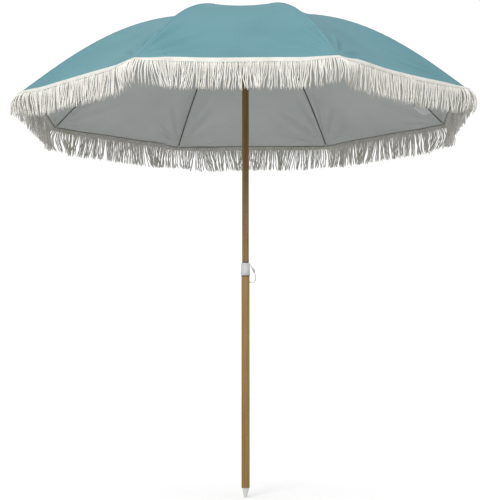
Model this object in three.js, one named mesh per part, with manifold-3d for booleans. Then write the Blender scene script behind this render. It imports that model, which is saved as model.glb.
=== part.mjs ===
// Beach umbrella with eight ribs, a fringed fabric canopy and a two-part pole.
// Millimetres, +Z up. The origin is the centre of the flat end of the ground spike.
// The ribs stand at half steps from -Y, so a whole panel faces -Y. The locking clip is on +X.

import * as THREE from 'three';
import { mergeVertices } from 'three/addons/utils/BufferGeometryUtils.js';
import Module from 'manifold-3d';

const wasm = await Module();
wasm.setup();

// ---- Driving dimensions ------------------------------------------------------------------

// Canopy
const RIB_COUNT = 8;
const CANOPY_RADIUS = 900; // pole axis to a rib tip
const CANOPY_RISE = 375; // rib tips to the top of the cloth
const RIM_HEIGHT = 1533; // rib tips above the end of the spike
const PROFILE = [-0.0317, 0.1051, -2.0782]; // first three terms of the rib's quartic curve
const SAG_DEPTH = 38; // most that the cloth sags between two ribs
const SAG_POWER = 3.06; // moves the deepest sag towards the rim
const SCALLOP_DEPTH = 16; // the edge curves in this much between two ribs
const SCALLOP_START = 0.5; // share of the radius where that begins
const CLOTH_DROP = 1.5; // thickness of the cloth, measured downwards
const CLOTH_START = 14; // the cloth's edge at the hub
const CLOTH_GAP = 0.4; // between neighbouring cloth pieces
const INNER_ROWS = 5;
const OUTER_ROWS = 8;
const GORE_COLUMNS = 8;

// Fringe
const FRINGE_DROP = 105; // below the rim
const FRINGE_RISE = 5; // above the rim
const FRINGE_THICKNESS = 4;
const FRINGE_GAP = 1; // between the cloth's edge and the fringe

// Ribs
const RIB_DEPTH = 3;
const RIB_GAP = 0.9; // between the cloth and the rib
const OUTER_RIB_WIDTH = 3;
const FLEX_RADIUS = 372; // where the stiff inner rib meets the springy outer rib
const RIB_END_INSET = 6; // the rib ends this far inside the cloth's corner
const HINGE_STANDOFF = 8.5; // the upper tube to the ribs' hinge circle in the crown
const HINGE_DROP = 8; // that circle below the top of the cloth
const RIB_EYE_RADIUS = 3;

// Struts and their brackets
const BRACKET_INSET = 12; // the bracket's rivet inside the end of the inner rib
const BRACKET_DROP = 12; // rib top to the rivet
const BRACKET_LENGTH = 14;
const BRACKET_THICKNESS = 1.4; // each of its two cheeks
const BRACKET_BITE = 0.2; // how far a cheek is let into the rib
const BRACKET_GAP = 0.3; // between a cheek and the strut
const BRACKET_ROUND = 4;
const RIVET_RADIUS = 1.3;
const STRUT_THICKNESS = 3;
const STRUT_DEPTH = 5;
const STRUT_EYE_RADIUS = 3.4;
const STRUT_HINGE_STANDOFF = 9.5; // the upper tube to the struts' hinge circle in the runner
const RUNNER_DROP = 200; // the crown's hinge circle down to the runner's, with the canopy open

// Hinge wires
const WIRE_RADIUS = 0.9;
const WIRE_CLEARANCE = 0.35;

// Pole
const UPPER_TUBE_RADIUS = 13.5;
const UPPER_TUBE_WALL = 1.2;
const UPPER_TUBE_BOTTOM = 560;
const TELESCOPE_GAP = 1; // between the two tubes
const LOWER_TUBE_WALL = 1.5;
const BUSH_HEIGHT = 18;
const BUSH_WALL = 2;
const FIT_GAP = 0.3; // between pieces that are fixed to each other
const SLIDE_GAP = 0.5; // between pieces that slide

// Ground spike
const SPIKE_LENGTH = 37.3; // below the lower tube
const SPIKE_END_RADIUS = 5.5;
const SPIKE_STEP = 0.7; // the spike's top is this much thinner than its plug
const SPIKE_LEAD = 2.8; // height of the cone between them
const SPIKE_PLUG_HEIGHT = 70;

// Collar and locking clip
const COLLAR_BOTTOM = 863.5;
const COLLAR_HEIGHT = 49.5;
const COLLAR_WALL = 1.2;
const COLLAR_BAND = 0.5; // the band at the collar's foot stands out this much
const COLLAR_BAND_HEIGHT = 10.5;
const COLLAR_CHAMFER = 1;
const COLLAR_LIP = 7; // covers the top of the lower tube
const EAR_LOW = 6; // foot of the collar's ear, above the collar's bottom
const EAR_HIGH = 46; // top of the ear, above the collar's bottom
const EAR_WIDTH = 6;
const LOBE_RADIUS = 8.5; // the ear's rounded end
const LOBE_OUT = 11.9; // collar to the middle of the lobe
const LOBE_HEIGHT = 19; // the middle of the lobe above the collar's bottom
const CLIP_PIVOT_OUT = 11.5; // collar to the clip's pivot
const CLIP_PIVOT_HEIGHT = 25.5; // above the collar's bottom
const CLIP_WIRE_RADIUS = 1.7;
const CLIP_DROP = 51; // pivot to the locking pin
const CLIP_OUT = 10.4; // the clip's widest place beyond its pivot
const CLIP_SIDE_GAP = 0.5; // between the clip's arm and the ear
const CLIP_ARM = [ // from pivot to pin, as shares of that reach, of the side step and of the drop
  [0.12, 1, 0.06],
  [0.62, 1, 0.22],
  [0.88, 0.9, 0.4],
  [1, 0.6, 0.62],
  [0.97, 0.38, 0.78],
  [0.8, 0.15, 0.91],
  [0.45, 0, 1],
];
const CLIP_HOLE_CLEARANCE = 0.8;
const CLIP_PIN_OVERHANG = 0.3; // the pin's end stays this far outside the inner wall

// Crown and top cap
const CROWN_LIP = 6; // beyond the hinge circle
const CROWN_SKIRT = 30; // below the hinge circle
const CROWN_WALL = 3.7;
const CROWN_RIM_DROP = 6;
const CROWN_PLATE_DROP = 1.7; // the plate over the tube's end starts this far below the hinge circle
const SLOT_CLEARANCE = 0.4; // each side of a rib or strut
const CAP_RADIUS = 20;
const CAP_EDGE = 3;
const CAP_HEIGHT = 22;
const CAP_KNOB_RADIUS = 9;
const CAP_KNOB_HEIGHT = 15.4; // the knob's straight side ends here
const CAP_TIP_RADIUS = 5.4;
const CAP_TIP_DROP = 1.1; // below the top of the cap
const CAP_STEM_RADIUS = 4;
const CAP_STEM_LENGTH = 24;

// Runner and its catch
const RUNNER_WALL = 4;
const RUNNER_LIP = 6; // beyond the hinge circle
const RUNNER_FLANGE_HALF = 7;
const RUNNER_ABOVE = 15; // sleeve above the hinge circle
const RUNNER_BELOW = 45; // sleeve below it
const CATCH_CLEARANCE = 3; // under the open runner
const CATCH_HEIGHT = 23;
const CATCH_REACH = 5; // beyond the tube
const CATCH_WIDTH = 4;
const CATCH_SPRING_LENGTH = 60;
const CATCH_SPRING_THICKNESS = 1.2;
const CATCH_SPRING_GAP = 1; // between the spring and the tube
const CATCH_SLOT_CLEARANCE = 0.6;

const TUBE_SEGMENTS = 32;
const SMALL_SEGMENTS = 12;
const WIRE_SIDES = 6;
const WIRE_SEGMENTS = 32;
const CAP_SEGMENTS = 24;
const CLIP_STEPS = 44;
const CLIP_ARC_SEGMENTS = 10;
const CUT_MARGIN = 1; // cutting solids run this far past what they cut

// ---- Derived places ----------------------------------------------------------------------

const STEP_ANGLE = (2 * Math.PI) / RIB_COUNT;
const HALF_STEP = STEP_ANGLE / 2;
const APEX = RIM_HEIGHT + CANOPY_RISE;
const HINGE_RADIUS = UPPER_TUBE_RADIUS + HINGE_STANDOFF;
const HINGE_HEIGHT = APEX - HINGE_DROP;
const CROWN_RADIUS = HINGE_RADIUS + CROWN_LIP;
const RIB_WIDTH = STRUT_THICKNESS + 2 * (BRACKET_GAP + BRACKET_BITE);
const BRACKET_RADIUS = FLEX_RADIUS - BRACKET_INSET;
const STRUT_HINGE_RADIUS = UPPER_TUBE_RADIUS + STRUT_HINGE_STANDOFF;
const UPPER_TUBE_TOP = HINGE_HEIGHT - CROWN_PLATE_DROP - FIT_GAP;
const LOWER_TUBE_BOTTOM = SPIKE_LENGTH + FIT_GAP;
const LOWER_TUBE_BORE = UPPER_TUBE_RADIUS + TELESCOPE_GAP;
const LOWER_TUBE_RADIUS = LOWER_TUBE_BORE + LOWER_TUBE_WALL;
const LOWER_TUBE_TOP = COLLAR_BOTTOM + COLLAR_HEIGHT - COLLAR_LIP - FIT_GAP;
const COLLAR_BORE = LOWER_TUBE_RADIUS + FIT_GAP;
const COLLAR_RADIUS = COLLAR_BORE + COLLAR_WALL;
const CLIP_PIVOT_X = COLLAR_RADIUS + CLIP_PIVOT_OUT;
const CLIP_PIVOT_Z = COLLAR_BOTTOM + CLIP_PIVOT_HEIGHT;
const CLIP_PIN_Z = CLIP_PIVOT_Z - CLIP_DROP;
const RUNNER_HEIGHT = HINGE_HEIGHT - RUNNER_DROP;
const RUNNER_FLANGE_RADIUS = STRUT_HINGE_RADIUS + RUNNER_LIP;
const RUNNER_BOTTOM = RUNNER_HEIGHT - RUNNER_BELOW;
const CATCH_TOP = RUNNER_BOTTOM - CATCH_CLEARANCE;

// ---- Materials ---------------------------------------------------------------------------

function finish(color, roughness, metalness) {
  return new THREE.MeshStandardMaterial({ color, roughness, metalness });
}

const materials = {
  cloth: finish(0x7aa5ae, 0.9, 0),
  fringe: finish(0xe6e2d6, 0.95, 0),
  steel: finish(0x3c3e3c, 0.45, 0.8),
  bright: finish(0xb8b8b4, 0.3, 1),
  pole: finish(0x987a50, 0.5, 0),
  plastic: finish(0xd4d4d2, 0.4, 0),
};

// ---- Solid helpers -----------------------------------------------------------------------

function toSolid(geometry) {
  const bare = geometry.clone();
  bare.deleteAttribute('normal');
  bare.deleteAttribute('uv');
  const merged = mergeVertices(bare, 1e-4);
  const mesh = new wasm.Mesh({
    numProp: 3,
    vertProperties: new Float32Array(merged.attributes.position.array),
    triVerts: new Uint32Array(merged.index.array),
  });
  return new wasm.Manifold(mesh);
}

function toGeometry(solid) {
  const mesh = solid.getMesh();
  const geometry = new THREE.BufferGeometry();
  geometry.setAttribute('position', new THREE.BufferAttribute(mesh.vertProperties.slice(), 3));
  geometry.setIndex(new THREE.BufferAttribute(mesh.triVerts.slice(), 1));
  return geometry;
}

function lathe(points, segments = TUBE_SEGMENTS) {
  const outline = points.map(([r, z]) => new THREE.Vector2(r, z));
  const geometry = new THREE.LatheGeometry(outline, segments);
  geometry.rotateX(Math.PI / 2);
  return geometry;
}

function ringLathe(inner, outer, bottom, top) {
  return lathe([[inner, bottom], [outer, bottom], [outer, top], [inner, top], [inner, bottom]]);
}

function boxBetween(low, high) {
  const size = high.map((value, axis) => value - low[axis]);
  const centre = high.map((value, axis) => (value + low[axis]) / 2);
  return new THREE.BoxGeometry(...size).translate(...centre);
}

function rod(from, to, radius, segments = SMALL_SEGMENTS) {
  const start = new THREE.Vector3(...from);
  const along = new THREE.Vector3(...to).sub(start);
  const geometry = new THREE.CylinderGeometry(radius, radius, along.length(), segments);
  const up = new THREE.Vector3(0, 1, 0);
  geometry.applyQuaternion(new THREE.Quaternion().setFromUnitVectors(up, along.clone().normalize()));
  const middle = start.addScaledVector(along, 0.5);
  return geometry.translate(middle.x, middle.y, middle.z);
}

function hingeWire(radius, height, wire) {
  return new THREE.TorusGeometry(radius, wire, WIRE_SIDES, WIRE_SEGMENTS).translate(0, 0, height);
}

// An outline in the XZ plane, given thickness along Y and centred on it.
function plate(shape, thickness, curveSegments = 6) {
  const options = { depth: thickness, bevelEnabled: false, curveSegments };
  const geometry = new THREE.ExtrudeGeometry(shape, options);
  geometry.rotateX(Math.PI / 2);
  return geometry.translate(0, thickness / 2, 0);
}

function polygon(points) {
  return new THREE.Shape(points.map(([x, z]) => new THREE.Vector2(x, z)));
}

function disc(x, z, radius, thickness) {
  return rod([x, -thickness / 2, z], [x, thickness / 2, z], radius);
}

// Turns a piece made on +X to stand at rib number `index`.
function ribAngle(index) {
  return -Math.PI / 2 + HALF_STEP + index * STEP_ANGLE;
}

// ---- Canopy surface ----------------------------------------------------------------------

function ribShare(u) {
  const [a, b, c] = PROFILE;
  const d = -1 - a - b - c;
  return 1 + u * (a + u * (b + u * (c + u * d)));
}

function sag(u) {
  const peak = SAG_POWER / (1 + SAG_POWER);
  const scale = peak ** SAG_POWER * (1 - peak);
  return (SAG_DEPTH * Math.max(u, 0) ** SAG_POWER * (1 - u)) / scale;
}

function clothHeightOnRib(x) {
  return RIM_HEIGHT + CANOPY_RISE * ribShare(x / CANOPY_RADIUS);
}

// u runs from the axis to the rim; t runs from -0.5 to 0.5 across the piece that one rib carries.
function clothPoint(u, t) {
  const across = Math.abs(t);
  const bow = 4 * across * (1 - across);
  const late = Math.max(0, (u - SCALLOP_START) / (1 - SCALLOP_START));
  const radius = CANOPY_RADIUS * u - SCALLOP_DEPTH * bow * late ** 2;
  const x = radius * (1 - across * (1 - Math.cos(STEP_ANGLE)));
  const y = radius * across * Math.sin(STEP_ANGLE) - CLOTH_GAP * across;
  const z = RIM_HEIGHT + CANOPY_RISE * ribShare(u) - sag(u) * bow;
  return [x, Math.sign(t) * y, z];
}

function shareAtPlane(x, t) {
  return x / (CANOPY_RADIUS * (1 - Math.abs(t) * (1 - Math.cos(STEP_ANGLE))));
}

// A cloth piece between two straight lines across the rib, or from one such line to the rim.
function clothPiece({ start, end, rows }) {
  const positions = [];
  for (const drop of [0, CLOTH_DROP]) {
    for (let row = 0; row <= rows; row += 1) {
      for (let column = 0; column <= GORE_COLUMNS; column += 1) {
        const t = column / GORE_COLUMNS - 0.5;
        const first = shareAtPlane(start, t);
        const last = end < CANOPY_RADIUS ? shareAtPlane(end, t) : 1;
        const [x, y, z] = clothPoint(first + ((last - first) * row) / rows, t);
        positions.push(x, y, z - drop);
      }
    }
  }
  const width = GORE_COLUMNS + 1;
  const layer = (rows + 1) * width;
  const at = (side, row, column) => side * layer + row * width + column;
  const index = [];
  const quad = (a, b, c, d) => index.push(a, b, c, a, c, d);
  for (let row = 0; row < rows; row += 1) {
    for (let column = 0; column < GORE_COLUMNS; column += 1) {
      quad(at(0, row, column), at(0, row + 1, column), at(0, row + 1, column + 1), at(0, row, column + 1));
      quad(at(1, row, column), at(1, row, column + 1), at(1, row + 1, column + 1), at(1, row + 1, column));
    }
    const last = GORE_COLUMNS;
    quad(at(0, row, 0), at(1, row, 0), at(1, row + 1, 0), at(0, row + 1, 0));
    quad(at(0, row, last), at(0, row + 1, last), at(1, row + 1, last), at(1, row, last));
  }
  for (let column = 0; column < GORE_COLUMNS; column += 1) {
    quad(at(0, 0, column), at(0, 0, column + 1), at(1, 0, column + 1), at(1, 0, column));
    quad(at(0, rows, column), at(1, rows, column), at(1, rows, column + 1), at(0, rows, column + 1));
  }
  const geometry = new THREE.BufferGeometry();
  geometry.setAttribute('position', new THREE.Float32BufferAttribute(positions, 3));
  geometry.setIndex(index);
  return geometry;
}

// ---- Ribs and struts ---------------------------------------------------------------------

const INNER_CLOTH = { start: CLOTH_START, end: FLEX_RADIUS - CLOTH_GAP / 2, rows: INNER_ROWS };
const OUTER_CLOTH = { start: FLEX_RADIUS + CLOTH_GAP / 2, end: CANOPY_RADIUS, rows: OUTER_ROWS };

// The rib lies under the straight facets of its cloth, so its corners are at the cloth's rows.
function ribTop(x, cloth) {
  const pitch = (cloth.end - cloth.start) / cloth.rows;
  const row = Math.min(cloth.rows - 1, Math.floor((x - cloth.start) / pitch));
  const before = cloth.start + row * pitch;
  const share = (x - before) / pitch;
  const height = (1 - share) * clothHeightOnRib(before) + share * clothHeightOnRib(before + pitch);
  return height - CLOTH_DROP - RIB_GAP;
}

function ribOutline(fromX, toX, cloth) {
  const pitch = (cloth.end - cloth.start) / cloth.rows;
  const stations = [fromX];
  for (let row = 1; row < cloth.rows; row += 1) {
    const x = cloth.start + row * pitch;
    if (x > fromX && x < toX) stations.push(x);
  }
  stations.push(toX);
  const top = stations.map((x) => [x, ribTop(x, cloth)]);
  const bottom = top.map(([x, z]) => [x, z - RIB_DEPTH]).reverse();
  return polygon([...top, ...bottom]);
}

const RIVET_Z = ribTop(BRACKET_RADIUS, INNER_CLOTH) - BRACKET_DROP;

function innerRib() {
  const bar = plate(ribOutline(HINGE_RADIUS, INNER_CLOTH.end, INNER_CLOTH), RIB_WIDTH);
  let solid = toSolid(bar).add(toSolid(disc(HINGE_RADIUS, HINGE_HEIGHT, RIB_EYE_RADIUS, RIB_WIDTH)));
  const left = BRACKET_RADIUS - BRACKET_LENGTH / 2;
  const right = BRACKET_RADIUS + BRACKET_LENGTH / 2;
  const cheek = polygon([
    [left, ribTop(left, INNER_CLOTH) - RIB_DEPTH / 3],
    [BRACKET_RADIUS - BRACKET_ROUND, RIVET_Z - BRACKET_ROUND / 2],
    [BRACKET_RADIUS - BRACKET_ROUND / 2, RIVET_Z - BRACKET_ROUND],
    [BRACKET_RADIUS + BRACKET_ROUND / 2, RIVET_Z - BRACKET_ROUND],
    [BRACKET_RADIUS + BRACKET_ROUND, RIVET_Z - BRACKET_ROUND / 2],
    [right, ribTop(right, INNER_CLOTH) - RIB_DEPTH / 3],
  ]);
  const cheekMiddle = (STRUT_THICKNESS + BRACKET_THICKNESS) / 2 + BRACKET_GAP;
  for (const side of [-1, 1]) {
    const placed = plate(cheek, BRACKET_THICKNESS).translate(0, side * cheekMiddle, 0);
    solid = solid.add(toSolid(placed));
  }
  const halfRivet = cheekMiddle + BRACKET_THICKNESS;
  const rivetEnds = [-halfRivet, halfRivet].map((y) => [BRACKET_RADIUS, y, RIVET_Z]);
  const rivet = rod(...rivetEnds, RIVET_RADIUS);
  const hole = disc(HINGE_RADIUS, HINGE_HEIGHT, WIRE_RADIUS + WIRE_CLEARANCE, RIB_WIDTH * 2);
  return toGeometry(solid.add(toSolid(rivet)).subtract(toSolid(hole)));
}

function outerRib() {
  const outline = ribOutline(OUTER_CLOTH.start, CANOPY_RADIUS - RIB_END_INSET, OUTER_CLOTH);
  return plate(outline, OUTER_RIB_WIDTH);
}

// The strut runs from the rivet to just short of the runner's hinge wire.
function strut() {
  const dx = STRUT_HINGE_RADIUS - BRACKET_RADIUS;
  const dz = RUNNER_HEIGHT - RIVET_Z;
  const length = Math.hypot(dx, dz) - WIRE_RADIUS - WIRE_CLEARANCE;
  const half = STRUT_DEPTH / 2;
  const tip = half / 2;
  const bar = polygon([
    [0, -half],
    [length - half, -half],
    [length, -tip],
    [length, tip],
    [length - half, half],
    [0, half],
  ]);
  const eye = toSolid(disc(0, 0, STRUT_EYE_RADIUS, STRUT_THICKNESS));
  const hole = toSolid(disc(0, 0, RIVET_RADIUS + WIRE_CLEARANCE, STRUT_THICKNESS * 2));
  const solid = toSolid(plate(bar, STRUT_THICKNESS)).add(eye).subtract(hole);
  const geometry = toGeometry(solid);
  geometry.rotateY(-Math.atan2(dz, dx));
  return geometry.translate(BRACKET_RADIUS, 0, RIVET_Z);
}

// ---- Fringe ------------------------------------------------------------------------------

// A curtain along the two half edges that meet at a rib tip, set outside the cloth's edge.
function fringe() {
  const offsetEdge = (offset) => {
    const points = [];
    for (let column = 0; column <= GORE_COLUMNS; column += 1) {
      const t = column / GORE_COLUMNS - 0.5;
      const [x, y] = clothPoint(1, t);
      const turn = Math.sign(t) * HALF_STEP;
      const reach = t === 0 ? offset / Math.cos(HALF_STEP) : offset;
      points.push(new THREE.Vector2(x + reach * Math.cos(turn), y + reach * Math.sin(turn)));
    }
    return points;
  };
  const outer = offsetEdge(FRINGE_GAP + FRINGE_THICKNESS);
  const inner = offsetEdge(FRINGE_GAP).reverse();
  const depth = FRINGE_DROP + FRINGE_RISE;
  const options = { depth, bevelEnabled: false };
  const geometry = new THREE.ExtrudeGeometry(new THREE.Shape([...outer, ...inner]), options);
  return geometry.translate(0, 0, RIM_HEIGHT - FRINGE_DROP);
}

// ---- Hub pieces --------------------------------------------------------------------------

function cutSlots(solid, innerRadius, outerRadius, width, bottom, top) {
  let result = solid;
  for (let index = 0; index < RIB_COUNT; index += 1) {
    const slot = boxBetween(
      [innerRadius, -width / 2, bottom - CUT_MARGIN],
      [outerRadius + CUT_MARGIN, width / 2, top + CUT_MARGIN],
    );
    result = result.subtract(toSolid(slot.rotateZ(ribAngle(index))));
  }
  return result;
}

const TUBE_SLEEVE_RADIUS = UPPER_TUBE_RADIUS + FIT_GAP;

function crown() {
  const top = APEX - CLOTH_DROP - RIB_GAP;
  const rim = HINGE_HEIGHT - CROWN_RIM_DROP;
  const skirt = TUBE_SLEEVE_RADIUS + CROWN_WALL;
  const stemHole = CAP_STEM_RADIUS + FIT_GAP;
  const body = lathe([
    [stemHole, HINGE_HEIGHT - CROWN_PLATE_DROP],
    [TUBE_SLEEVE_RADIUS, HINGE_HEIGHT - CROWN_PLATE_DROP],
    [TUBE_SLEEVE_RADIUS, HINGE_HEIGHT - CROWN_SKIRT],
    [skirt, HINGE_HEIGHT - CROWN_SKIRT],
    [skirt, rim],
    [CROWN_RADIUS, rim],
    [CROWN_RADIUS, top],
    [stemHole, top],
    [stemHole, HINGE_HEIGHT - CROWN_PLATE_DROP],
  ]);
  const slotStart = HINGE_RADIUS - RIB_EYE_RADIUS - SLOT_CLEARANCE;
  const width = RIB_WIDTH + 2 * SLOT_CLEARANCE;
  const slotted = cutSlots(toSolid(body), slotStart, CROWN_RADIUS, width, rim, top);
  const groove = hingeWire(HINGE_RADIUS, HINGE_HEIGHT, WIRE_RADIUS + WIRE_CLEARANCE);
  return toGeometry(slotted.subtract(toSolid(groove)));
}

function topCap() {
  const bottom = APEX + FIT_GAP;
  const shoulder = bottom + CAP_EDGE;
  const top = bottom + CAP_HEIGHT;
  return lathe([
    [0, bottom - CAP_STEM_LENGTH],
    [CAP_STEM_RADIUS, bottom - CAP_STEM_LENGTH],
    [CAP_STEM_RADIUS, bottom],
    [CAP_RADIUS, bottom],
    [CAP_RADIUS, shoulder],
    [CAP_KNOB_RADIUS, shoulder + CAP_EDGE],
    [CAP_KNOB_RADIUS, bottom + CAP_KNOB_HEIGHT],
    [CAP_TIP_RADIUS, top - CAP_TIP_DROP],
    [0, top],
  ], CAP_SEGMENTS);
}

function runner() {
  const bore = UPPER_TUBE_RADIUS + SLIDE_GAP;
  const sleeve = bore + RUNNER_WALL;
  const low = RUNNER_HEIGHT - RUNNER_FLANGE_HALF;
  const high = RUNNER_HEIGHT + RUNNER_FLANGE_HALF;
  const body = lathe([
    [bore, RUNNER_BOTTOM],
    [sleeve, RUNNER_BOTTOM],
    [sleeve, low],
    [RUNNER_FLANGE_RADIUS, low],
    [RUNNER_FLANGE_RADIUS, high],
    [sleeve, high],
    [sleeve, RUNNER_HEIGHT + RUNNER_ABOVE],
    [bore, RUNNER_HEIGHT + RUNNER_ABOVE],
    [bore, RUNNER_BOTTOM],
  ]);
  const slotStart = sleeve + SLIDE_GAP;
  const width = STRUT_THICKNESS + 2 * SLOT_CLEARANCE;
  const slotted = cutSlots(toSolid(body), slotStart, RUNNER_FLANGE_RADIUS, width, low, high);
  const groove = hingeWire(STRUT_HINGE_RADIUS, RUNNER_HEIGHT, WIRE_RADIUS + WIRE_CLEARANCE);
  return toGeometry(slotted.subtract(toSolid(groove)));
}

// ---- Pole pieces -------------------------------------------------------------------------

function upperTube() {
  const bore = UPPER_TUBE_RADIUS - UPPER_TUBE_WALL;
  const tube = ringLathe(bore, UPPER_TUBE_RADIUS, UPPER_TUBE_BOTTOM, UPPER_TUBE_TOP);
  const half = CATCH_WIDTH / 2 + CATCH_SLOT_CLEARANCE;
  const slot = boxBetween(
    [-half, -UPPER_TUBE_RADIUS - CUT_MARGIN, CATCH_TOP - CATCH_HEIGHT - CATCH_SLOT_CLEARANCE],
    [half, -bore / 2, CATCH_TOP + CATCH_SLOT_CLEARANCE],
  );
  return toGeometry(toSolid(tube).subtract(toSolid(slot)));
}

// The bush closes the upper tube's lower end and guides it in the lower tube.
function tubeBush() {
  const outer = LOWER_TUBE_BORE - FIT_GAP;
  const plug = UPPER_TUBE_RADIUS - UPPER_TUBE_WALL - FIT_GAP;
  const top = UPPER_TUBE_BOTTOM - FIT_GAP;
  const bottom = top - BUSH_HEIGHT / 2;
  const bore = plug - BUSH_WALL;
  return lathe([
    [bore, bottom],
    [outer, bottom],
    [outer, top],
    [plug, top],
    [plug, top + BUSH_HEIGHT / 2],
    [bore, top + BUSH_HEIGHT / 2],
    [bore, bottom],
  ]);
}

// A leaf spring inside the tube, with a wedge that stands out under the open runner.
function catchSpring() {
  const bore = UPPER_TUBE_RADIUS - UPPER_TUBE_WALL;
  const root = bore - CATCH_SPRING_GAP;
  const wedge = polygon([
    [root - CATCH_SPRING_THICKNESS, CATCH_TOP - CATCH_SPRING_LENGTH],
    [root, CATCH_TOP - CATCH_SPRING_LENGTH],
    [root, CATCH_TOP - CATCH_HEIGHT],
    [UPPER_TUBE_RADIUS + CATCH_REACH, CATCH_TOP - CATCH_REACH],
    [UPPER_TUBE_RADIUS + CATCH_REACH, CATCH_TOP],
    [root - CATCH_SPRING_THICKNESS, CATCH_TOP],
  ]);
  return plate(wedge, CATCH_WIDTH).rotateZ(-Math.PI / 2);
}

function lowerTube() {
  const tube = ringLathe(LOWER_TUBE_BORE, LOWER_TUBE_RADIUS, LOWER_TUBE_BOTTOM, LOWER_TUBE_TOP);
  const radius = CLIP_WIRE_RADIUS + CLIP_HOLE_CLEARANCE;
  const hole = rod([0, 0, CLIP_PIN_Z], [LOWER_TUBE_RADIUS * 2, 0, CLIP_PIN_Z], radius);
  return toGeometry(toSolid(tube).subtract(toSolid(hole)));
}

function groundSpike() {
  const plug = LOWER_TUBE_BORE - FIT_GAP;
  return lathe([
    [0, 0],
    [SPIKE_END_RADIUS, 0],
    [plug - SPIKE_STEP, SPIKE_LENGTH],
    [plug, LOWER_TUBE_BOTTOM + SPIKE_LEAD],
    [plug, SPIKE_LENGTH + SPIKE_PLUG_HEIGHT],
    [0, SPIKE_LENGTH + SPIKE_PLUG_HEIGHT],
  ]);
}

// Where the straight line from a point touches a circle, as an angle at its centre.
function tangentAngle([x, z], [centreX, centreZ], radius, side) {
  const toPoint = Math.atan2(z - centreZ, x - centreX);
  return toPoint + side * Math.acos(radius / Math.hypot(x - centreX, z - centreZ));
}

function collarEar() {
  const root = (COLLAR_BORE + COLLAR_RADIUS) / 2;
  const low = [root, COLLAR_BOTTOM + EAR_LOW];
  const high = [root, COLLAR_BOTTOM + EAR_HIGH];
  const lobe = [COLLAR_RADIUS + LOBE_OUT, COLLAR_BOTTOM + LOBE_HEIGHT];
  const first = tangentAngle(low, lobe, LOBE_RADIUS, 1);
  const last = tangentAngle(high, lobe, LOBE_RADIUS, -1);
  const outline = new THREE.Shape();
  outline.moveTo(...low);
  outline.absarc(...lobe, LOBE_RADIUS, first, last);
  outline.lineTo(...high);
  outline.closePath();
  return plate(outline, EAR_WIDTH);
}

function poleCollar() {
  const top = COLLAR_BOTTOM + COLLAR_HEIGHT;
  const band = COLLAR_RADIUS + COLLAR_BAND;
  const lip = UPPER_TUBE_RADIUS + SLIDE_GAP;
  const ring = lathe([
    [COLLAR_BORE, COLLAR_BOTTOM],
    [band, COLLAR_BOTTOM],
    [band, COLLAR_BOTTOM + COLLAR_BAND_HEIGHT],
    [COLLAR_RADIUS, COLLAR_BOTTOM + COLLAR_BAND_HEIGHT + COLLAR_BAND],
    [COLLAR_RADIUS, top - COLLAR_CHAMFER],
    [COLLAR_RADIUS - COLLAR_CHAMFER, top],
    [lip, top],
    [lip, top - COLLAR_LIP],
    [COLLAR_BORE, top - COLLAR_LIP],
    [COLLAR_BORE, COLLAR_BOTTOM],
  ]);
  const hole = disc(CLIP_PIVOT_X, CLIP_PIVOT_Z, CLIP_WIRE_RADIUS + FIT_GAP, EAR_WIDTH * 2);
  return toGeometry(toSolid(ring).add(toSolid(collarEar())).subtract(toSolid(hole)));
}

// One bent wire: through the ear, out beside it, down, and in through the lower tube's wall.
function lockClip() {
  const side = EAR_WIDTH / 2 + CLIP_SIDE_GAP + CLIP_WIRE_RADIUS;
  const pinEnd = LOWER_TUBE_BORE + CLIP_PIN_OVERHANG;
  const arm = CLIP_ARM.map(([out, beside, down]) => new THREE.Vector3(
    CLIP_PIVOT_X + CLIP_OUT * out,
    -side * beside,
    CLIP_PIVOT_Z - CLIP_DROP * down,
  ));
  const path = new THREE.CatmullRomCurve3([
    new THREE.Vector3(CLIP_PIVOT_X, side - CLIP_SIDE_GAP, CLIP_PIVOT_Z),
    new THREE.Vector3(CLIP_PIVOT_X, 0, CLIP_PIVOT_Z),
    new THREE.Vector3(CLIP_PIVOT_X, CLIP_WIRE_RADIUS - side, CLIP_PIVOT_Z),
    ...arm,
    new THREE.Vector3((pinEnd + CLIP_PIVOT_X) / 2, 0, CLIP_PIN_Z),
    new THREE.Vector3(pinEnd, 0, CLIP_PIN_Z),
  ], false, 'centripetal');
  const section = new THREE.Shape();
  section.absarc(0, 0, CLIP_WIRE_RADIUS, 0, 2 * Math.PI);
  const options = {
    steps: CLIP_STEPS,
    extrudePath: path,
    bevelEnabled: false,
    curveSegments: CLIP_ARC_SEGMENTS,
  };
  return toGeometry(toSolid(new THREE.ExtrudeGeometry(section, options)));
}

// ---- Assembly ----------------------------------------------------------------------------

const umbrella = new THREE.Group();

function addPiece(parent, name, geometry, material) {
  const mesh = new THREE.Mesh(geometry, material);
  mesh.name = name;
  parent.add(mesh);
}

const pole = new THREE.Group();
umbrella.add(pole);
addPiece(pole, 'ground_spike', groundSpike(), materials.plastic);
addPiece(pole, 'lower_tube', lowerTube(), materials.pole);
addPiece(pole, 'pole_collar', poleCollar(), materials.plastic);
addPiece(pole, 'lock_clip', lockClip(), materials.bright);
addPiece(pole, 'tube_bush', tubeBush(), materials.plastic);
addPiece(pole, 'upper_tube', upperTube(), materials.pole);
addPiece(pole, 'catch_spring', catchSpring(), materials.bright);
addPiece(pole, 'runner', runner(), materials.plastic);
const strutWire = hingeWire(STRUT_HINGE_RADIUS, RUNNER_HEIGHT, WIRE_RADIUS);
addPiece(pole, 'runner_wire', strutWire, materials.bright);
addPiece(pole, 'crown', crown(), materials.plastic);
addPiece(pole, 'crown_wire', hingeWire(HINGE_RADIUS, HINGE_HEIGHT, WIRE_RADIUS), materials.bright);
addPiece(pole, 'top_cap', topCap(), materials.plastic);

const innerRibGeometry = innerRib();
const outerRibGeometry = outerRib();
const strutGeometry = strut();
const innerCloth = clothPiece(INNER_CLOTH);
const outerCloth = clothPiece(OUTER_CLOTH);
const fringeGeometry = fringe();

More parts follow.
